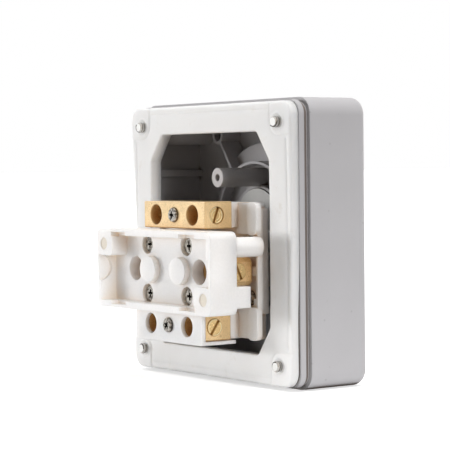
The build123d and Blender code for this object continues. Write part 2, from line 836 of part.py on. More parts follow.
# Neutral and earth bars, each with two clamping screws and a fixing screw
bar_point = bar_x - bar_hole_x - tunnel_r - grub_point_gap
for name, z, front, grub_y, fix_seat, grubs, fix_turn in (
    ("neutral", top_z, bar_front, neutral_grub_y, bar_rear - fix_sink, neutral_grubs, 0),
    ("earth", low_z, earth_front, earth_grub_y, bar_cover_rear - fix_sink, earth_grubs, earth_fix_turn),
):
    rear = front + bar_depth
    with BuildPart() as bar:
        with BuildSketch(back(rear)):
            with Locations((0, z)):
                Rectangle(2 * bar_x, bar_h)
        extrude(amount=bar_depth)
        chamfer(bar.edges(), bar_edge)
        with BuildSketch(back(rear)):
            with Locations(*sides(bar_hole_x, z)):
                Circle(tunnel_r)
            with Locations((0, z)):
                Circle(fix_r + hole_play)
        extrude(amount=bar_depth, mode=Mode.SUBTRACT)
        for side, (turn, proud) in zip((-1, 1), grubs):
            for seat_r, depth in ((grub_r, grub_len - proud), (grub_point_r, bar_x - bar_hole_x)):
                with BuildSketch(Plane.YZ.offset(side * bar_x)):
                    with Locations((grub_y, z)):
                        Circle(seat_r + grub_play)
                extrude(amount=-side * depth, mode=Mode.SUBTRACT)
        if fix_seat < rear:
            with BuildSketch(back(rear)):
                with Locations((0, z)):
                    Circle(fix_head_r + hole_play)
            extrude(amount=rear - fix_seat, mode=Mode.SUBTRACT)
    bar.part.label = name + "_bar"
    export_step(bar.part, "parts/" + name + "_bar.step")

    with BuildPart() as bar_screws:
        for side, (turn, proud) in zip((-1, 1), grubs):
            with BuildSketch(Plane.YZ.offset(side * (bar_x + proud))):
                with Locations((grub_y, z)):
                    Circle(grub_r)
            extrude(amount=-side * grub_len)
            with BuildSketch(Plane.YZ.offset(side * (bar_x + proud - grub_len / 2))):
                with Locations((grub_y, z)):
                    Circle(grub_point_r)
            extrude(amount=-side * (bar_point + proud - grub_len / 2))
            with BuildSketch(Plane.YZ.offset(side * (bar_x + proud))):
                with Locations((grub_y, z)):
                    Rectangle(slot_w, 2 * (grub_r + seat_margin), rotation=turn)
            extrude(amount=-side * slot_t, mode=Mode.SUBTRACT)
    bar_screws.part.label = name + "_bar_screws"
    export_step(bar_screws.part, "parts/" + name + "_bar_screws.step")

    with BuildPart() as fixing_screw:
        with BuildSketch(back(fix_seat + fix_head_t)):
            with Locations((0, z)):
                Circle(fix_head_r)
        extrude(amount=fix_head_t)
        fillet(fixing_screw.edges().group_by(Axis.Y)[-1], fix_round)
        with BuildSketch(back(fix_seat)):
            with Locations((0, z)):
                Circle(fix_r)
        extrude(amount=fix_seat - front + fix_grip)
        with BuildSketch(back(fix_seat + fix_head_t)):
            with Locations((0, z)):
                Rectangle(fix_head_r, cross_w, rotation=fix_turn)
                Rectangle(cross_w, fix_head_r, rotation=fix_turn)
        extrude(amount=cross_t, mode=Mode.SUBTRACT)
    fixing_screw.part.label = name + "_fixing_screw"
    export_step(fixing_screw.part, "parts/" + name + "_fixing_screw.step")

# White cover over the earth bar, with a lip under it
with BuildPart() as earth_bar_cover:
    with BuildSketch(back(bar_cover_rear)):
        with Locations((0, (bar_cover_top + bar_cover_low) / 2)):
            RectangleRounded(2 * bar_cover_x, bar_cover_top - bar_cover_low, bar_cover_corner)
    extrude(amount=bar_cover_t)
    with BuildSketch(back(bar_cover_front)):
        with Locations((0, bar_cover_low + bar_cover_lip / 2)):
            Rectangle(2 * (bar_cover_x - bar_cover_corner), bar_cover_lip)
    extrude(amount=bar_cover_front - bar_cover_lip_front)
    with BuildSketch(back(bar_cover_rear)):
        with Locations(*sides(bar_hole_x, low_z)):
            Circle(tunnel_r)
        with Locations((0, low_z)):
            Circle(fix_r + hole_play)
    extrude(amount=bar_cover_t, mode=Mode.SUBTRACT)
    with BuildSketch(back(bar_cover_rear)):
        with Locations((0, low_z)):
            Circle(fix_head_r + hole_play)
    extrude(amount=fix_sink, mode=Mode.SUBTRACT)
earth_bar_cover.part.label = "earth_bar_cover"
export_step(earth_bar_cover.part, "parts/earth_bar_cover.step")

# Line and load terminals, their screws and the strips that lead to the contacts
for name, side, turn in (("line", -1, -25), ("load", 1, 30)):
    with BuildPart() as terminal:
        with BuildSketch(back(block_rear)):
            with Locations((side * block_hole_x, mech_z)):
                Rectangle(2 * block_side, block_h)
        extrude(amount=bar_depth)
        end_face = terminal.faces().sort_by(Axis.X)[0 if side < 0 else -1]
        chamfer(end_face.edges().filter_by(Axis.Y), block_bevel)
        with BuildSketch(back(block_rear)):
            with Locations((side * block_hole_x, mech_z)):
                Circle(tunnel_r)
        extrude(amount=bar_depth, mode=Mode.SUBTRACT)
        for seat_r, depth in ((grub_r, grub_len - grub_proud), (grub_point_r, block_side)):
            with BuildSketch(Plane.YZ.offset(side * block_out)):
                with Locations((block_grub_y, mech_z)):
                    Circle(seat_r + grub_play)
            extrude(amount=-side * depth, mode=Mode.SUBTRACT)
    terminal.part.label = name + "_terminal"
    export_step(terminal.part, "parts/" + name + "_terminal.step")

    with BuildPart() as terminal_screw:
        with BuildSketch(Plane.YZ.offset(side * (block_out + grub_proud))):
            with Locations((block_grub_y, mech_z)):
                Circle(grub_r)
        extrude(amount=-side * grub_len)
        with BuildSketch(Plane.YZ.offset(side * block_out)):
            with Locations((block_grub_y, mech_z)):
                Circle(grub_point_r)
        extrude(amount=-side * (block_side - tunnel_r - grub_point_gap))
        with BuildSketch(Plane.YZ.offset(side * (block_out + grub_proud))):
            with Locations((block_grub_y, mech_z)):
                Rectangle(slot_w, 2 * (grub_r + seat_margin), rotation=turn)
        extrude(amount=-side * slot_t, mode=Mode.SUBTRACT)
    terminal_screw.part.label = name + "_terminal_screw"
    export_step(terminal_screw.part, "parts/" + name + "_terminal_screw.step")

    with BuildPart() as contact:
        with BuildSketch(Plane.XY.offset(mech_z - strip_w / 2)):
            with Locations((side * (strip_x + strip_foot / 2), block_front - strip_t / 2)):
                Rectangle(strip_foot, strip_t)
            with Locations((side * (strip_x + strip_t / 2), (block_front + strip_front) / 2)):
                Rectangle(strip_t, block_front - strip_front)
            with Locations((side * (strip_x + strip_t + strip_in) / 2, strip_front + strip_t / 2)):
                Rectangle(strip_x + strip_t - strip_in, strip_t)
        extrude(amount=strip_w)
    contact.part.label = name + "_contact"
    export_step(contact.part, "parts/" + name + "_contact.step")

# Silver tips on the strips
with BuildPart() as fixed_contact_tips:
    with BuildSketch(back(strip_front)):
        with Locations(*sides(contact_tip_x, mech_z)):
            Circle(contact_tip_r)
    extrude(amount=contact_tip_t)
fixed_contact_tips.part.label = "fixed_contact_tips"
export_step(fixed_contact_tips.part, "parts/fixed_contact_tips.step")

# Contact chamber, a cup open to the rear
with BuildPart() as contact_chamber:
    with BuildSketch(back(base_front)):
        with Locations((0, mech_z)):
            RectangleRounded(2 * chamber_x, 2 * chamber_half_z, chamber_corner)
    extrude(amount=base_front - chamber_front)
    with BuildSketch(back(base_front)):
        with Locations((0, mech_z)):
            Rectangle(2 * (chamber_x - chamber_wall), 2 * (chamber_half_z - chamber_wall))
    extrude(amount=base_front - chamber_inner, mode=Mode.SUBTRACT)
    # ears for the two screws
    ear_reach = ear_dz - chamber_half_z + ear_bite
    with BuildSketch(back(base_front)):
        with Locations(*ear_spots):
            Circle(ear_r)
        with Locations(*turned(ear_x, ear_dz - ear_reach / 2)):
            Rectangle(2 * ear_r, ear_reach)
        with Locations(*ear_spots):
            Circle(chamber_screw_r + hole_play, mode=Mode.SUBTRACT)
    extrude(amount=ear_t)
    # window for the peg and notches for the contact strips
    with BuildSketch(back(chamber_inner)):
        with Locations((0, (peg_low + peg_high) / 2)):
            Rectangle(2 * (throw + peg_r + peg_room), peg_high - peg_low + 2 * (peg_r + peg_room))
    extrude(amount=chamber_wall, mode=Mode.SUBTRACT)
    with BuildSketch(back(base_front)):
        with Locations((0, mech_z)):
            Rectangle(2 * (chamber_x + chamber_wall), strip_w + 2 * strip_play)
    extrude(amount=strip_gap + strip_t + strip_play, mode=Mode.SUBTRACT)
contact_chamber.part.label = "contact_chamber"
export_step(contact_chamber.part, "parts/contact_chamber.step")

# Screws of the chamber, driven from the front
with BuildPart() as chamber_screws:
    with BuildSketch(back(base_front - ear_t)):
        with Locations(*ear_spots):
            Circle(chamber_head_r)
    extrude(amount=chamber_head_t)
    with BuildSketch(back(base_front + chamber_screw_grip)):
        with Locations(*ear_spots):
            Circle(chamber_screw_r)
    extrude(amount=chamber_screw_grip + ear_t)
    with BuildSketch(back(base_front - ear_t - chamber_head_t + cross_t)):
        with Locations(*ear_spots):
            Rectangle(chamber_head_r, cross_w)
            Rectangle(cross_w, chamber_head_r)
    extrude(amount=cross_t, mode=Mode.SUBTRACT)
chamber_screws.part.label = "chamber_screws"
export_step(chamber_screws.part, "parts/chamber_screws.step")

# Cam slide with its wedge face, in the off position
with BuildPart() as cam_slide:
    with BuildSketch(Plane.XY.offset(mech_z - slide_half_z)):
        Polygon(
            (throw - slide_x, slide_front),
            (throw + slide_x, slide_front),
            (throw + slide_x, ramp + slope * (throw + slide_x)),
            (throw - slide_x, ramp + slope * (throw - slide_x)),
            align=None,
        )
    extrude(amount=2 * slide_half_z)
    # fork for the peg, open at the top
    fork_low = peg_low - peg_r - slot_play
    fork_high = mech_z + slide_half_z + pilot_extra
    with BuildSketch(back(0)):
        with Locations((throw, (fork_low + fork_high) / 2)):
            Rectangle(2 * (peg_r + slot_play), fork_high - fork_low)
    extrude(amount=-case_front, mode=Mode.SUBTRACT)
cam_slide.part.label = "cam_slide"
export_step(cam_slide.part, "parts/cam_slide.step")

# Follower under the bridge, with a sloping foot
with BuildPart() as contact_carrier:
    with BuildSketch(back(bridge_front)):
        with Locations((0, mech_z)):
            Rectangle(2 * carrier_x, 2 * carrier_half_z)
    extrude(amount=carrier_t)
    with BuildSketch(Plane.XY.offset(mech_z - foot_w / 2)):
        Polygon(
            (-foot_x, carrier_front + foot_bite),
            (-foot_x, foot_front - slope * foot_x),
            (foot_x, foot_front + slope * foot_x),
            (foot_x, carrier_front + foot_bite),
            align=None,
        )
    extrude(amount=foot_w)
contact_carrier.part.label = "contact_carrier"
export_step(contact_carrier.part, "parts/contact_carrier.step")

# Moving contact bridge and its tips
with BuildPart() as contact_bridge:
    with BuildSketch(back(bridge_rear)):
        with Locations((0, mech_z)):
            RectangleRounded(2 * bridge_x, bridge_w, bridge_round)
    extrude(amount=bridge_t)
contact_bridge.part.label = "contact_bridge"
export_step(contact_bridge.part, "parts/contact_bridge.step")

with BuildPart() as bridge_tips:
    with BuildSketch(back(bridge_tip_rear)):
        with Locations(*sides(contact_tip_x, mech_z)):
            Circle(contact_tip_r)
    extrude(amount=contact_tip_t)
bridge_tips.part.label = "bridge_tips"
export_step(bridge_tips.part, "parts/bridge_tips.step")

# Opening spring between bridge and base
coil_pitch = spring_len / spring_turns
coil_start = (0, spring_front, mech_z)
with BuildPart() as contact_spring:
    with BuildLine() as coil:
        Helix(coil_pitch, spring_len, spring_r, center=coil_start, direction=(0, 1, 0))
    with BuildSketch(Plane(origin=coil.wires()[0] @ 0, z_dir=coil.wires()[0] % 0)):
        Circle(spring_wire)
    sweep(path=coil.wires()[0], is_frenet=True)
contact_spring.part.label = "contact_spring"
export_step(contact_spring.part, "parts/contact_spring.step")
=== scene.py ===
import json
from collections import namedtuple
from math import cos, pi, radians, sin

import bpy
import numpy as np
from mathutils import Matrix, Vector, noise


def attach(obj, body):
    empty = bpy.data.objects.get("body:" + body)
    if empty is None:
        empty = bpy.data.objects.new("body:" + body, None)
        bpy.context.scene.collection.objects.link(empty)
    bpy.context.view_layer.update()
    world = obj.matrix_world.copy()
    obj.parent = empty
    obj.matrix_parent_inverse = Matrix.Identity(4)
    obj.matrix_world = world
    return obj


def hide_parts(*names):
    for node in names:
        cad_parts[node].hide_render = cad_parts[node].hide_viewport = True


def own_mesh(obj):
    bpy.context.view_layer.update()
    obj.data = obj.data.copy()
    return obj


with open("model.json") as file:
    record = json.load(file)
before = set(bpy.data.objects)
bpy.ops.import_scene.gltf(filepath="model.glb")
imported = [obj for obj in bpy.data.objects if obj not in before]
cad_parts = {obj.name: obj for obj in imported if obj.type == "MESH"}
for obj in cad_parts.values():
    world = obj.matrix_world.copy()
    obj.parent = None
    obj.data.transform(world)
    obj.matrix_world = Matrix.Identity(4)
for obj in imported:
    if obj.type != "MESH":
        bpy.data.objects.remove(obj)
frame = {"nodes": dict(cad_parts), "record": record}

scene = bpy.context.scene
mm = 0.001


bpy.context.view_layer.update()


# Shader nodes

class Nodes:
    """Short ways to add and join shader nodes."""

    def __init__(self, tree):
        self.tree = tree
        tree.nodes.clear()

    def add(self, kind, **values):
        node = self.tree.nodes.new(kind)
        for key, value in values.items():
            if key in node.inputs:
                self.set(node.inputs[key], value)
            else:
                setattr(node, key, value)
        return node

    def set(self, socket, value):
        if isinstance(value, bpy.types.NodeSocket):
            self.tree.links.new(value, socket)
        else:
            socket.default_value = value

    def noise(self, place, scale, detail=4.0, rough=0.55):
        node = self.add("ShaderNodeTexNoise", Vector=place, Scale=scale, Detail=detail, Roughness=rough)
        return node.outputs["Fac"]

    def span(self, value, low, high, to_low=0.0, to_high=1.0):
        """Value from low to high, mapped to another range and held at its ends."""
        node = self.add("ShaderNodeMapRange", clamp=True)
        for i, v in enumerate((value, low, high, to_low, to_high)):
            self.set(node.inputs[i], v)
        return node.outputs[0]

    def mix(self, fac, a, b):
        """Two colours mixed, by the colour sockets of the node."""
        node = self.add("ShaderNodeMix", data_type="RGBA")
        self.set(node.inputs[0], fac)
        self.set(node.inputs[6], a)
        self.set(node.inputs[7], b)
        return node.outputs[2]

    def math(self, operation, a, b=0.0):
        node = self.add("ShaderNodeMath", operation=operation)
        self.set(node.inputs[0], a)
        self.set(node.inputs[1], b)
        return node.outputs[0]

    def dot(self, a, b):
        node = self.add("ShaderNodeVectorMath", operation="DOT_PRODUCT")
        self.set(node.inputs[0], a)
        self.set(node.inputs[1], b)
        return node.outputs["Value"]

    def within(self, value, low, high):
        """One between low and high, and nought elsewhere."""
        above, below = self.math("GREATER_THAN", value, low), self.math("LESS_THAN", value, high)
        return self.math("MULTIPLY", above, below)

    def depth_and_out(self, place):
        """The y of a place, and its distance from the y axis measured along a square."""
        at = self.add("ShaderNodeSeparateXYZ", Vector=place)
        sides = [self.math("ABSOLUTE", at.outputs[i]) for i in (0, 2)]
        return at.outputs[1], self.math("MAXIMUM", *sides)


# Finishes. Scales count cells in a metre, and lengths are in metres.

# Broad change of tone
Cloud = namedtuple("Cloud", "scale amount")
# Fine change of tone, and the depth of its bump
Grain = namedtuple("Grain", "scale amount depth")
# Patches where a noise passes start
Stain = namedtuple("Stain", "scale start amount color")
# Dots in the few cells past start
Speck = namedtuple("Speck", "scale start size amount color")
# Painted shade where less than high of the surroundings is open, full at low, and only inside room if it is
# given
PaintedShade = namedtuple("PaintedShade", "reach low high amount color room", defaults=(None,))
# Painted shade: a band between two depths and two distances from the middle, darkening a groove as its shadow
# would
GrooveShade = namedtuple("GrooveShade", "depths outs amount color")
# Painted shade: a darker tone on the eased edges
EdgeShade = namedtuple("EdgeShade", "radius amount color")

cloud_span, grain_span, rough_span = (0.3, 0.7), (0.35, 0.75), (0.3, 0.7)  # of the noise
light_share, grain_most = 0.5, 0.5
stain_fade, speck_fade = 0.12, 0.01
# The first pair of cosines places the painted highlight on rear-facing ends, the second the painted shade on
# eased edges.
end_span, edge_span = (0.75, 0.95), (0.88, 0.99)  # cosines of the angle to the rear, and to the eased edge
corner_samples, edge_samples = 8, 6
bump_strength, rough_spread, coat_rough = 0.35, 0.06, 0.25
glow_radius, glow_scale = (1.0, 0.92, 0.84), 7 * mm


def shade(color, gain):
    return (color[0] * gain, color[1] * gain, color[2] * gain, 1.0)


def marked(n, place, tone, stain, speck, ends, painted_shade, groove, edge_shade):
    """Tone with stains and specks, a painted highlight on rear ends, and painted shade in hollows, in a groove
    and on eased edges.
    """
    if stain:
        patch = n.noise(place, stain.scale, 6.0, 0.65)
        patch = n.span(patch, stain.start, stain.start + stain_fade, 0.0, stain.amount)
        tone = n.mix(patch, tone, stain.color)
    if speck:
        cell = n.add("ShaderNodeTexVoronoi", Vector=place, Scale=speck.scale)
        pick = n.add("ShaderNodeSeparateColor", Color=cell.outputs["Color"])
        rare = n.span(pick.outputs[0], speck.start, speck.start + speck_fade)
        dot = n.span(cell.outputs["Distance"], 0.0, speck.size, 1.0, 0.0)
        much = n.math("MULTIPLY", n.math("MULTIPLY", rare, dot), speck.amount)
        tone = n.mix(much, tone, speck.color)
    # Painted highlight: faces that look to the rear are mixed toward a brighter tone.
    if ends:
        normal = n.add("ShaderNodeNewGeometry").outputs["Normal"]
        rearward = n.add("ShaderNodeSeparateXYZ", Vector=normal).outputs[1]
        tone = n.mix(n.span(rearward, *end_span), tone, ends)
    # Painted shade: the tone darkens where ambient occlusion finds the surroundings closed in.
    for shade_layer in painted_shade:
        corner = n.add("ShaderNodeAmbientOcclusion", Distance=shade_layer.reach, samples=corner_samples)
        much = n.span(corner.outputs["AO"], shade_layer.low, shade_layer.high, shade_layer.amount, 0.0)
        if shade_layer.room:
            _, out = n.depth_and_out(place)
            much = n.math("MULTIPLY", much, n.math("LESS_THAN", out, shade_layer.room))
        tone = n.mix(much, tone, shade_layer.color)
    # Painted shade in the groove between the rim and the outer wall.
    if groove:
        depth, out = n.depth_and_out(place)
        band = n.math("MULTIPLY", n.within(depth, *groove.depths), n.within(out, *groove.outs))
        tone = n.mix(n.math("MULTIPLY", band, groove.amount), tone, groove.color)
    # Painted shade: eased edges darkened toward the edge colour.
    if edge_shade:
        eased = n.add("ShaderNodeBevel", Radius=edge_shade.radius).outputs[0]
        flat = n.add("ShaderNodeNewGeometry").outputs["True Normal"]
        tone = n.mix(n.span(n.dot(eased, flat), *edge_span, edge_shade.amount, 0.0), tone, edge_shade.color)
    return tone


def surface(name, color, rough, metallic=0.0, cloud=Cloud(90.0, 0.08), grain=Grain(1400.0, 0.1, 0.04 * mm),
            stain=None, speck=None, ends=None, painted_shade=(), groove=None, edge_shade=None, edge=0.0, coat=0.0, glow=0.0):
    """Procedural finish: clouds and grain in tone, roughness and bump, then the marks that are asked for,
    painted highlights and painted shade among them.
    """
    made = bpy.data.materials.new(name)
    made.use_nodes = True
    n = Nodes(made.node_tree)
    place = n.add("ShaderNodeTexCoord").outputs["Object"]
    clouds = n.noise(place, cloud.scale, 3.0)
    fine = n.noise(place, grain.scale, 5.0, 0.6)
    dark, light = shade(color, 1 - cloud.amount), shade(color, 1 + cloud.amount * light_share)
    tone = n.mix(n.span(clouds, *cloud_span), dark, light)
    tone = n.mix(n.span(fine, *grain_span, 0.0, grain_most), tone, shade(color, 1 - grain.amount))
    tone = marked(n, place, tone, stain, speck, ends, painted_shade, groove, edge_shade)
    bump = n.add("ShaderNodeBump", Strength=bump_strength, Distance=grain.depth, Height=fine)
    if edge:
        eased = n.add("ShaderNodeBevel", Radius=edge, samples=edge_samples)
        n.set(bump.inputs["Normal"], eased.outputs[0])
    shader = n.add("ShaderNodeBsdfPrincipled", Normal=bump.outputs[0])
    n.set(shader.inputs["Base Color"], tone)
    n.set(shader.inputs["Roughness"], n.span(fine, *rough_span, rough - rough_spread, rough + rough_spread))
    shader.inputs["Metallic"].default_value = metallic
    if coat:
        shader.inputs["Coat Weight"].default_value = coat
        shader.inputs["Coat Roughness"].default_value = coat_rough
    if glow:
        shader.inputs["Subsurface Weight"].default_value = glow
        shader.inputs["Subsurface Radius"].default_value = glow_radius
        shader.inputs["Subsurface Scale"].default_value = glow_scale
    n.add("ShaderNodeOutputMaterial", Surface=shader.outputs[0])
    return made


dark_speck = (0.10, 0.09, 0.08, 1.0)
# Colours of painted shade: deep inside the housing, in its tight corners, and in its groove.
painted_inside_shade = (0.17, 0.155, 0.135, 1.0)
painted_corner_shade = (0.10, 0.07, 0.045, 1.0)
painted_groove_shade = (0.15, 0.115, 0.09, 1.0)
beige = (0.62, 0.55, 0.45, 1.0)
# cream and tan: painted shade in the hollows of the white cover and base.
cream = (0.87, 0.73, 0.61, 1.0)
tan = (0.80, 0.57, 0.37, 1.0)
# black: painted shade in the crevices of the stainless and zinc screws.
black = (0.03, 0.026, 0.022, 1.0)
tarnish = (0.07, 0.054, 0.04, 1.0)
# Painted highlight on the rear ends of the stainless screw tips.
painted_highlight_steel = (0.95, 0.94, 0.92, 1.0)
# brown: the brass's own stains and specks, and painted shade in its hollows; amber: painted shade in its deeper
# hollows.
brown = (0.36, 0.21, 0.07, 1.0)
amber = (0.52, 0.25, 0.05, 1.0)
# Colours of the painted shade on the eased edges of the brass.
bar_edge_shade = (0.45, 0.24, 0.07, 1.0)
screw_edge_shade = (0.45, 0.26, 0.08, 1.0)

shell_room = 47.2 * mm  # half the width of the housing's inside
shell_grain = Grain(2600.0, 0.05, 0.03 * mm)
# Where the band of painted shade in the groove lies:
groove_depths, groove_outs = (-7.2 * mm, -5.75 * mm), (47.5 * mm, 50.1 * mm)

looks = {
    "grey_shell": dict(
        color=(0.54, 0.53, 0.545), rough=0.5, cloud=Cloud(40.0, 0.03), grain=shell_grain,
        speck=Speck(260.0, 0.94, 0.16, 0.45, dark_speck),
        # Painted shade: darkening deep inside the housing, and in its tight corners and groove.
        painted_shade=[PaintedShade(45 * mm, 0.20, 0.50, 0.32, painted_inside_shade, shell_room),
               PaintedShade(2.5 * mm, 0.22, 0.48, 0.95, painted_corner_shade)],
        groove=GrooveShade(groove_depths, groove_outs, 0.85, painted_groove_shade), edge=0.5 * mm),
    "gasket_rubber": dict(
        color=(0.86, 0.85, 0.84), rough=0.62, cloud=Cloud(60.0, 0.03), grain=Grain(1800.0, 0.04, 0.04 * mm),
        stain=Stain(130.0, 0.60, 0.25, beige), glow=0.35),
    "stainless": dict(
        # Painted highlight on the rear ends of the tips, and painted shade in their crevices.
        color=(0.62, 0.60, 0.57), rough=0.22, metallic=1.0, cloud=Cloud(300.0, 0.2), ends=painted_highlight_steel,
        painted_shade=[PaintedShade(0.6 * mm, 0.3, 0.8, 0.9, black)], edge=0.2 * mm),
    "black_rubber": dict(color=(0.02, 0.02, 0.02), rough=0.7),
    "grey_handle": dict(
        color=(0.42, 0.42, 0.43), rough=0.45, cloud=Cloud(40.0, 0.04), grain=shell_grain, edge=0.4 * mm),
    "grey_drive": dict(color=(0.60, 0.595, 0.58), rough=0.5, edge=0.3 * mm),
    "zinc_steel": dict(
        color=(0.60, 0.57, 0.52), rough=0.24, metallic=1.0, cloud=Cloud(700.0, 0.35),
        # The tarnish patches are the zinc's own; the darkening in the cross recesses is painted shade.
        stain=Stain(820.0, 0.46, 0.9, tarnish), painted_shade=[PaintedShade(1.2 * mm, 0.45, 0.85, 1.0, black)], edge=0.3 * mm),
    "white_base": dict(
        color=(0.89, 0.87, 0.85), rough=0.42, cloud=Cloud(70.0, 0.03),
        # Painted shade: warm darkening in the base's recesses and under the cover.
        painted_shade=[PaintedShade(7 * mm, 0.2, 0.8, 0.95, tan)], edge=0.4 * mm, glow=0.4),
    "white_cover": dict(
        color=(0.91, 0.89, 0.875), rough=0.36, cloud=Cloud(70.0, 0.025),
        # Painted shade: warm darkening in the cover's corners and holes.
        painted_shade=[PaintedShade(8 * mm, 0.2, 0.8, 0.85, cream)], edge=0.4 * mm, glow=0.6),
    "brass_bar": dict(
        color=(1.0, 0.72, 0.37), rough=0.30, metallic=0.4, cloud=Cloud(240.0, 0.14),
        grain=Grain(4200.0, 0.16, 0.02 * mm), stain=Stain(340.0, 0.60, 0.30, brown),
        speck=Speck(420.0, 0.95, 0.26, 0.7, brown),
        # Painted shade: darker in the bar's holes and hollows, and along its eased edges.
        painted_shade=[PaintedShade(1.6 * mm, 0.2, 0.6, 0.7, brown), PaintedShade(8 * mm, 0.25, 0.75, 0.8, amber)],
        edge_shade=EdgeShade(0.4 * mm, 0.8, bar_edge_shade), edge=0.3 * mm, coat=1.0),
    "brass_screw": dict(
        color=(1.0, 0.72, 0.34), rough=0.24, metallic=0.5, cloud=Cloud(360.0, 0.15),
        # Painted shade: darker in the screw's slot and hollows, and along its eased edges.
        stain=Stain(700.0, 0.60, 0.45, brown), painted_shade=[PaintedShade(1.2 * mm, 0.3, 0.8, 0.95, brown)],
        edge_shade=EdgeShade(0.4 * mm, 0.7, screw_edge_shade), edge=0.2 * mm),
    "copper_strip": dict(color=(0.72, 0.36, 0.20), rough=0.35, metallic=1.0, cloud=Cloud(160.0, 0.15)),
    "silver_tip": dict(color=(0.82, 0.82, 0.80), rough=0.25, metallic=1.0),
    "spring_steel": dict(color=(0.45, 0.44, 0.43), rough=0.35, metallic=1.0),
    # For the added trims: screw threads in a dark tone that paints the shade between the turns, rims of the
    # clamping screws in a paler brass that paints their highlight, marks in the terminal cover
    "thread_shade": dict(color=(0.09, 0.08, 0.07), rough=0.3, metallic=0.7, cloud=Cloud(600.0, 0.2)),
    "rim_highlight": dict(color=(1.0, 0.84, 0.50), rough=0.2, metallic=0.4, cloud=Cloud(300.0, 0.1)),
    "mark_tone": dict(color=(0.80, 0.74, 0.64), rough=0.45, cloud=Cloud(300.0, 0.06)),
}
finish = {name: surface(name, **look) for name, look in looks.items()}

for row in frame["record"]["subparts"]:
    mesh = frame["nodes"][row["node"]].data
    mesh.materials.clear()
    mesh.materials.append(finish[row["material_slot"]])


# Shapes. From here to the spring, lengths are in millimetres.

screw_place = 42.0  # the cover screws' distance from the middle, across and up


def mesh_object(name, points, faces, material, body, replaced=(), flat=False):
    """Mesh from points in millimetres, riding on a body of the frame."""
    mesh = bpy.data.meshes.new(name)
    mesh.from_pydata([tuple(float(c) * mm for c in p) for p in points], [], faces)
    mesh.validate()
    mesh.update()
    if not flat:
        mesh.shade_smooth()
    mesh.materials.append(finish[material])
    made = bpy.data.objects.new(name, mesh)
    scene.collection.objects.link(made)
    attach(made, body)
    if replaced:
        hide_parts(*replaced)


def rounded(points, radius, steps=10):
    """Closed outline with each corner rounded."""
    out = []
    count = len(points)
    for i in range(count):
        before, at, after = (Vector(points[(i + k) % count]) for k in (-1, 0, 1))
        a, b = (before - at).normalized(), (after - at).normalized()
        angle = a.angle(b)
        reach = radius / np.tan(angle / 2)
        centre = at + (a + b).normalized() * (radius / sin(angle / 2))
        start, end = at + a * reach - centre, at + b * reach - centre
        for k in range(steps + 1):
            out.append(centre + start.lerp(end, k / steps).normalized() * radius)
    return np.array([(p.x, p.y) for p in out])


def radius_at(outline, angles, steps=40):
    """Distance from the middle to the outline in each direction."""
    sides = zip(outline, np.roll(outline, -1, 0))
    dense = np.concatenate([np.linspace(a, b, steps, endpoint=False) for a, b in sides])
    around = np.arctan2(dense[:, 1], dense[:, 0])
    order = np.argsort(around)
    return np.interp(angles, around[order], np.hypot(dense[:, 0], dense[:, 1])[order], period=2 * pi)


def smooth(x, low, high):
    """Soft step from nought at low to one at high."""
    t = np.clip((x - low) / (high - low), 0, 1)
    return t * t * (3 - 2 * t)


def bell(x, centre, width):
    return np.exp(-((x - centre) / width) ** 2)


def waves(x, z, scale, layer):
    """Smooth noise over the plane of the gasket."""
    return np.array([noise.noise(Vector((p * scale, q * scale, layer))) for p, q in zip(x, z)])


def rings_to_faces(rings, count):
    """Faces of a closed loop of rings, each a closed loop of points."""
    faces = []
    for r in range(rings):
        a, b = r * count, ((r + 1) % rings) * count
        for i in range(count):
            j = (i + 1) % count
            faces.append((a + i, a + j, b + j, b + i))
    return faces


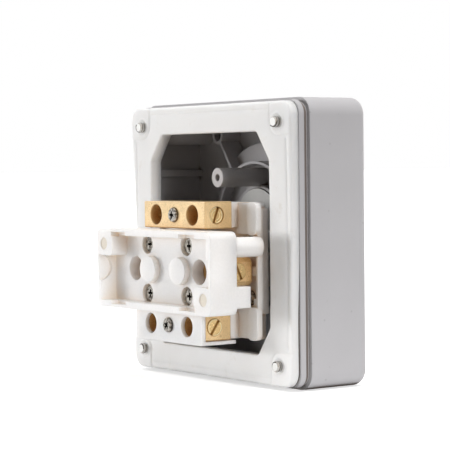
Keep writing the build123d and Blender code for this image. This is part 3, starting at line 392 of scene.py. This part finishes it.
def build_gasket():
    """Soft moulded frame with waves, pads round the screws, creases along its edges and a bowed +X edge."""
    outer_half, outer_corner, inner_corner = 49.2, 5.0, 2.5
    open_x, open_z, side_x, side_z = 36.8, 39.0, 29.5, 29.0  # the opening, and where its straight sides end
    lip, thick, lip_in, inner_wall = 4.6, 3.5, 3.6, 2.0
    inner_round = ((0.0, 0.7), (0.08, 0.35), (0.25, 0.12), (0.5, 0.0))  # way in from the edge, drop
    outer_round = ((1.1, 0.0), (0.6, 0.12), (0.25, 0.32), (0.06, 0.62), (0.0, 1.0))
    count, rows = 1200, 56
    wave_scale, wave_height, ripple_scale, ripple_height, sink = 0.05, 0.24, 0.17, 0.07, 0.06
    pad_radius, pad_groove, pad_groove_less, pad_groove_width = 4.5, 0.34, 0.16, 0.36
    pad_rise, pad_edge = 0.16, (3.9, 4.6)
    collar_radius, collar_rise, collar_width = 3.1, 0.25, 0.45
    crease_in, crease_width, crease_sides, crease_ends, crease_end = 2.6, 0.7, 0.50, 0.30, (4.5, 6.5)
    gap_scale, gap_least, gap_wave, gap_shift, gap_corner = 0.045, 0.01, 0.10, 0.05, 0.6
    top_bulge, bulge_span, middle_bow, bow_middle, bow_width = 0.8, (24.0, 40.0), 1.5, -2.0, 24.0
    bowed_edge = (40.0, 47.0)  # x where the bow sets in, and where it is full

    opening = [(open_x, -side_z), (open_x, side_z), (side_x, open_z), (-side_x, open_z),
               (-open_x, side_z), (-open_x, -side_z), (-side_x, -open_z), (side_x, -open_z)]
    square = [(outer_half * sx, outer_half * sz) for sx, sz in ((1, -1), (1, 1), (-1, 1), (-1, -1))]
    angles = np.linspace(-pi, pi, count, endpoint=False)
    across, up = np.cos(angles), np.sin(angles)
    r_in = radius_at(rounded(opening, inner_corner), angles)
    r_out = radius_at(rounded(square, outer_corner), angles)
    bow = top_bulge * smooth(up * r_out, *bulge_span) - middle_bow * bell(up * r_out, bow_middle, bow_width)
    r_out = r_out + bow * smooth(across * r_out, *bowed_edge)

    def rear(x, z):
        """Height of the rear face over the sealing plane."""
        h = wave_height * waves(x, z, wave_scale, 3.1) + ripple_height * waves(x, z, ripple_scale, 8.4) - sink
        wide, high = np.abs(x), np.abs(z)
        dx, dz = screw_place - wide, screw_place - high
        pad = np.hypot(np.maximum(dx, 0), np.maximum(dz, 0))
        groove = pad_groove - pad_groove_less * smooth(dz, -2.0, 3.0)
        h -= groove * bell(pad, pad_radius, pad_groove_width)
        h += pad_rise * (1 - smooth(pad, *pad_edge))
        h += collar_rise * bell(np.hypot(dx, dz), collar_radius, collar_width)
        for out, along, depth in ((wide, dz, crease_sides), (high, dx, crease_ends)):
            crease = np.exp(-np.abs(outer_half - out - crease_in) / crease_width)
            h -= depth * crease * smooth(along, *crease_end)
        return h

    def lift(x, z):
        """Gap between the outer edge and the housing's rim, widest at the low -X corner."""
        wave = np.clip(waves(x, z, gap_scale, 21.7) + gap_shift, 0, 1)
        low = smooth(-x, 30.0, 48.0) * smooth(-z, 5.0, 30.0)
        return gap_least + gap_wave * wave + gap_corner * low

    rings = []

    def ring(radius, y):
        rings.append(np.stack([across * radius, np.broadcast_to(y, radius.shape), up * radius], 1))

    def rear_ring(radius, drop):
        ring(radius, rear(across * radius, up * radius) - drop)

    ring(r_in, -lip)
    ring(r_in, -inner_wall)
    for offset, drop in inner_round:
        rear_ring(r_in + offset, drop)
    first, last = r_in + inner_round[-1][0], r_out - outer_round[0][0]
    for t in np.linspace(0, 1, rows)[1:-1]:
        rear_ring(first + (last - first) * t, 0.0)
    for offset, drop in outer_round:
        rear_ring(r_out - offset, drop)
    gap = lift(across * r_out, up * r_out)
    soft = np.minimum(0.05 + 0.4 * gap, 0.25)
    ring(r_out, -thick + soft + gap)
    ring(r_out - soft, -thick + gap)
    ring(r_out - lip_in, -thick)
    ring(r_out - lip_in, -lip)
    mesh_object("gasket_soft", np.concatenate(rings), rings_to_faces(len(rings), count), "gasket_rubber",
                "enclosure", ("gasket",))


def build_threads():
    """Thread on the tips of the four cover screws, running out at both ends, dark as painted shade."""
    turns, pitch, start = 1.7, 0.95, 0.2
    root, crest, half_width = 1.72, 1.93, 0.34
    phase_x, phase_z = 0.7, 1.9  # so that no two tips look alike
    steps, run_out = 40, 12
    total = int(turns * steps)
    points, faces = [], []
    for sx in (-1, 1):
        for sz in (-1, 1):
            first = len(points)
            for k in range(total + 1):
                angle = 2 * pi * k / steps + phase_x * sx + phase_z * sz
                top = root + (crest - root) * min(1.0, k / run_out, (total - k) / run_out)
                y = start + pitch * k / steps
                for radius, dy in ((root, -half_width), (top, 0.0), (root, half_width)):
                    points.append((sx * screw_place + radius * cos(angle), y + dy,
                                   sz * screw_place + radius * sin(angle)))
            for k in range(total):
                a = first + 3 * k
                faces += [(a, a + 1, a + 4, a + 3), (a + 1, a + 2, a + 5, a + 4), (a + 2, a, a + 3, a + 5)]
            end = first + 3 * total
            faces += [(first + 2, first + 1, first), (end, end + 1, end + 2)]
    mesh_object("screw_threads", points, faces, "thread_shade", "enclosure", flat=True)


def build_rings():
    """Turned rims on the faces of the clamping screws, left open at the slot, in a paler brass as a painted
    highlight.
    """
    rims = (  # x, y, z of the face, turn of the slot in degrees, radius and thickness of the rim
        (-19.65, 11.1, -29.35, 35, 2.72, 0.26),
        (19.65, 11.1, -29.35, 50, 2.72, 0.26),
        (-18.7, 9.6, 9.85, 20, 2.70, 0.30),
        (-18.7, 9.6, 9.85, 20, 1.75, 0.24),
        (19.65, 9.6, 9.85, -35, 2.72, 0.26),
    )
    slot_half, flatten = 0.55, 0.8
    around, steps = 8, 36
    points, faces = [], []
    for x, y, z, turn, radius, tube in rims:
        along = pi / 2 + radians(turn)
        clear = (slot_half + tube) / radius
        for half in (0, 1):
            first = len(points)
            for k in range(steps + 1):
                angle = along + pi * half + clear + (pi - 2 * clear) * k / steps
                for j in range(around):
                    turned = 2 * pi * j / around
                    r = radius + tube * cos(turned)
                    points.append((x + tube * flatten * sin(turned), y + r * cos(angle), z + r * sin(angle)))
            for k in range(steps):
                for j in range(around):
                    a, b = first + k * around + j, first + k * around + (j + 1) % around
                    faces.append((a, a + around, b + around, b))
            faces.append([first + j for j in range(around)])
            faces.append([first + steps * around + j for j in range(around)][::-1])
    mesh_object("screw_rings", points, faces, "rim_highlight", "enclosure")


def build_marks():
    """Thin beige discs in the two moulded rounds of the terminal cover."""
    places, radius, rear, front = ((31.6, -0.95), (-31.6, -18.55)), 2.18, 24.21, 24.19
    around = 40
    points, faces = [], []
    for x, z in places:
        first = len(points)
        for y in (rear, front):
            for k in range(around):
                angle = 2 * pi * k / around
                points.append((x + radius * cos(angle), y, z + radius * sin(angle)))
        faces.append([first + k for k in range(around)][::-1])
        faces.append([first + around + k for k in range(around)])
        for k in range(around):
            j = (k + 1) % around
            faces.append((first + k, first + j, first + around + j, first + around + k))
    mesh_object("cover_marks", points, faces, "mark_tone", "enclosure", flat=True)


def build_spring():
    """Opening spring, which in the switch shortens towards its rear end as the handle turns and the contacts
    close; here it is a copy of the part with a mesh of its own, riding on the enclosure.
    """
    coil = bpy.data.objects.new("coil_spring", frame["nodes"]["contact_spring"].data.copy())
    scene.collection.objects.link(coil)
    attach(coil, "enclosure")
    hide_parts("contact_spring")
    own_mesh(coil)


build_gasket()
build_threads()
build_rings()
build_marks()
build_spring()


# Floor: white paper whose front edge lies close to the object on the camera's side

white = (1.0, 1.0, 1.0, 1.0)
yaw, pitch, roll = radians(54.23), radians(1.82), radians(-0.61)  # of the camera
floor_z, floor_size, floor_front = -50.6 * mm, 40.0, 0.17
paper_dark, paper_light = (0.80, 0.80, 0.80, 1.0), (0.82, 0.82, 0.82, 1.0)
paper_scale, camera_glow = 30.0, 0.6

inward = floor_front - floor_size / 2
bpy.ops.mesh.primitive_plane_add(size=floor_size, rotation=(0, 0, yaw),
                                 location=(-sin(yaw) * inward, cos(yaw) * inward, floor_z))
floor = bpy.context.object
floor.name = "floor"

paper = bpy.data.materials.new("paper")
paper.use_nodes = True
n = Nodes(paper.node_tree)
place = n.add("ShaderNodeTexCoord").outputs["Object"]
sheet = n.add("ShaderNodeBsdfDiffuse", Color=n.mix(n.noise(place, paper_scale), paper_dark, paper_light))
by_camera = n.add("ShaderNodeLightPath").outputs["Is Camera Ray"]
extra = n.add("ShaderNodeEmission", Strength=n.math("MULTIPLY", by_camera, camera_glow))
both = n.add("ShaderNodeAddShader")
n.set(both.inputs[0], sheet.outputs[0])
n.set(both.inputs[1], extra.outputs[0])
n.add("ShaderNodeOutputMaterial", Surface=both.outputs[0])
floor.data.materials.append(paper)


# Light

def lamp(name, toward, strength, angle):
    """Sun lamp in the direction toward, where a strength of 1 lights a facing white sheet to white."""
    data = bpy.data.lights.new(name, "SUN")
    data.energy = strength * pi
    data.angle = radians(angle)
    made = bpy.data.objects.new(name, data)
    made.rotation_euler = Vector(toward).to_track_quat("Z", "Y").to_euler()
    made.visible_glossy = False
    scene.collection.objects.link(made)


lamp("key", (0.785, 0.615, 0.06), 0.64, 14)
lamp("key_soft", (0.60, 0.80, 0.06), 0.25, 14)
lamp("top", (-0.10, 0.0, 0.99), 0.75, 24)
lamp("sky", (-0.10, 0.50, 0.86), 0.14, 40)
lamp("right", (-0.97, 0.10, 0.20), 0.44, 14)
lamp("front", (0.2, -0.9, 0.35), 0.3, 40)

# World: white to the camera, a warm to white room in mirrors, and a faint fill for all else
bright_side, bright_span = (0.80, 0.58, 0.12), (-0.7, 0.75)
room_dark, room_fill = (0.80, 0.70, 0.60, 1.0), (0.012, 0.0115, 0.011, 1.0)

world = bpy.data.worlds.new("studio")
scene.world = world
world.use_nodes = True
n = Nodes(world.node_tree)
path = n.add("ShaderNodeLightPath")
seen = n.math("MAXIMUM", path.outputs["Is Camera Ray"], path.outputs["Is Transmission Ray"])
facing = n.dot(n.add("ShaderNodeTexCoord").outputs["Generated"], bright_side)
mirrored = n.mix(n.span(facing, *bright_span), room_dark, white)
level = n.mix(path.outputs["Is Glossy Ray"], room_fill, mirrored)
level = n.mix(seen, level, white)
backdrop = n.add("ShaderNodeBackground", Color=level)
n.add("ShaderNodeOutputWorld", Surface=backdrop.outputs[0])


# Camera, in metres

distance, across, upward = 0.6459, 0.0063, 0.00581
lens, sensor_width, clip_start = 142.77, 36.0, 0.01

back = Vector((-sin(yaw) * cos(pitch), cos(yaw) * cos(pitch), sin(pitch)))
right = Vector((-cos(yaw), -sin(yaw), 0.0))
up = back.cross(right)
right, up = cos(roll) * right + sin(roll) * up, cos(roll) * up - sin(roll) * right
view = bpy.data.cameras.new("view")
view.lens = lens
view.sensor_width = sensor_width
view.clip_start = clip_start
camera = bpy.data.objects.new("camera", view)
stand = back * distance + right * across + up * upward
camera.matrix_world = Matrix.Translation(stand) @ Matrix((right, up, back)).transposed().to_4x4()
scene.collection.objects.link(camera)
scene.camera = camera
scene.view_settings.view_transform = "Standard"
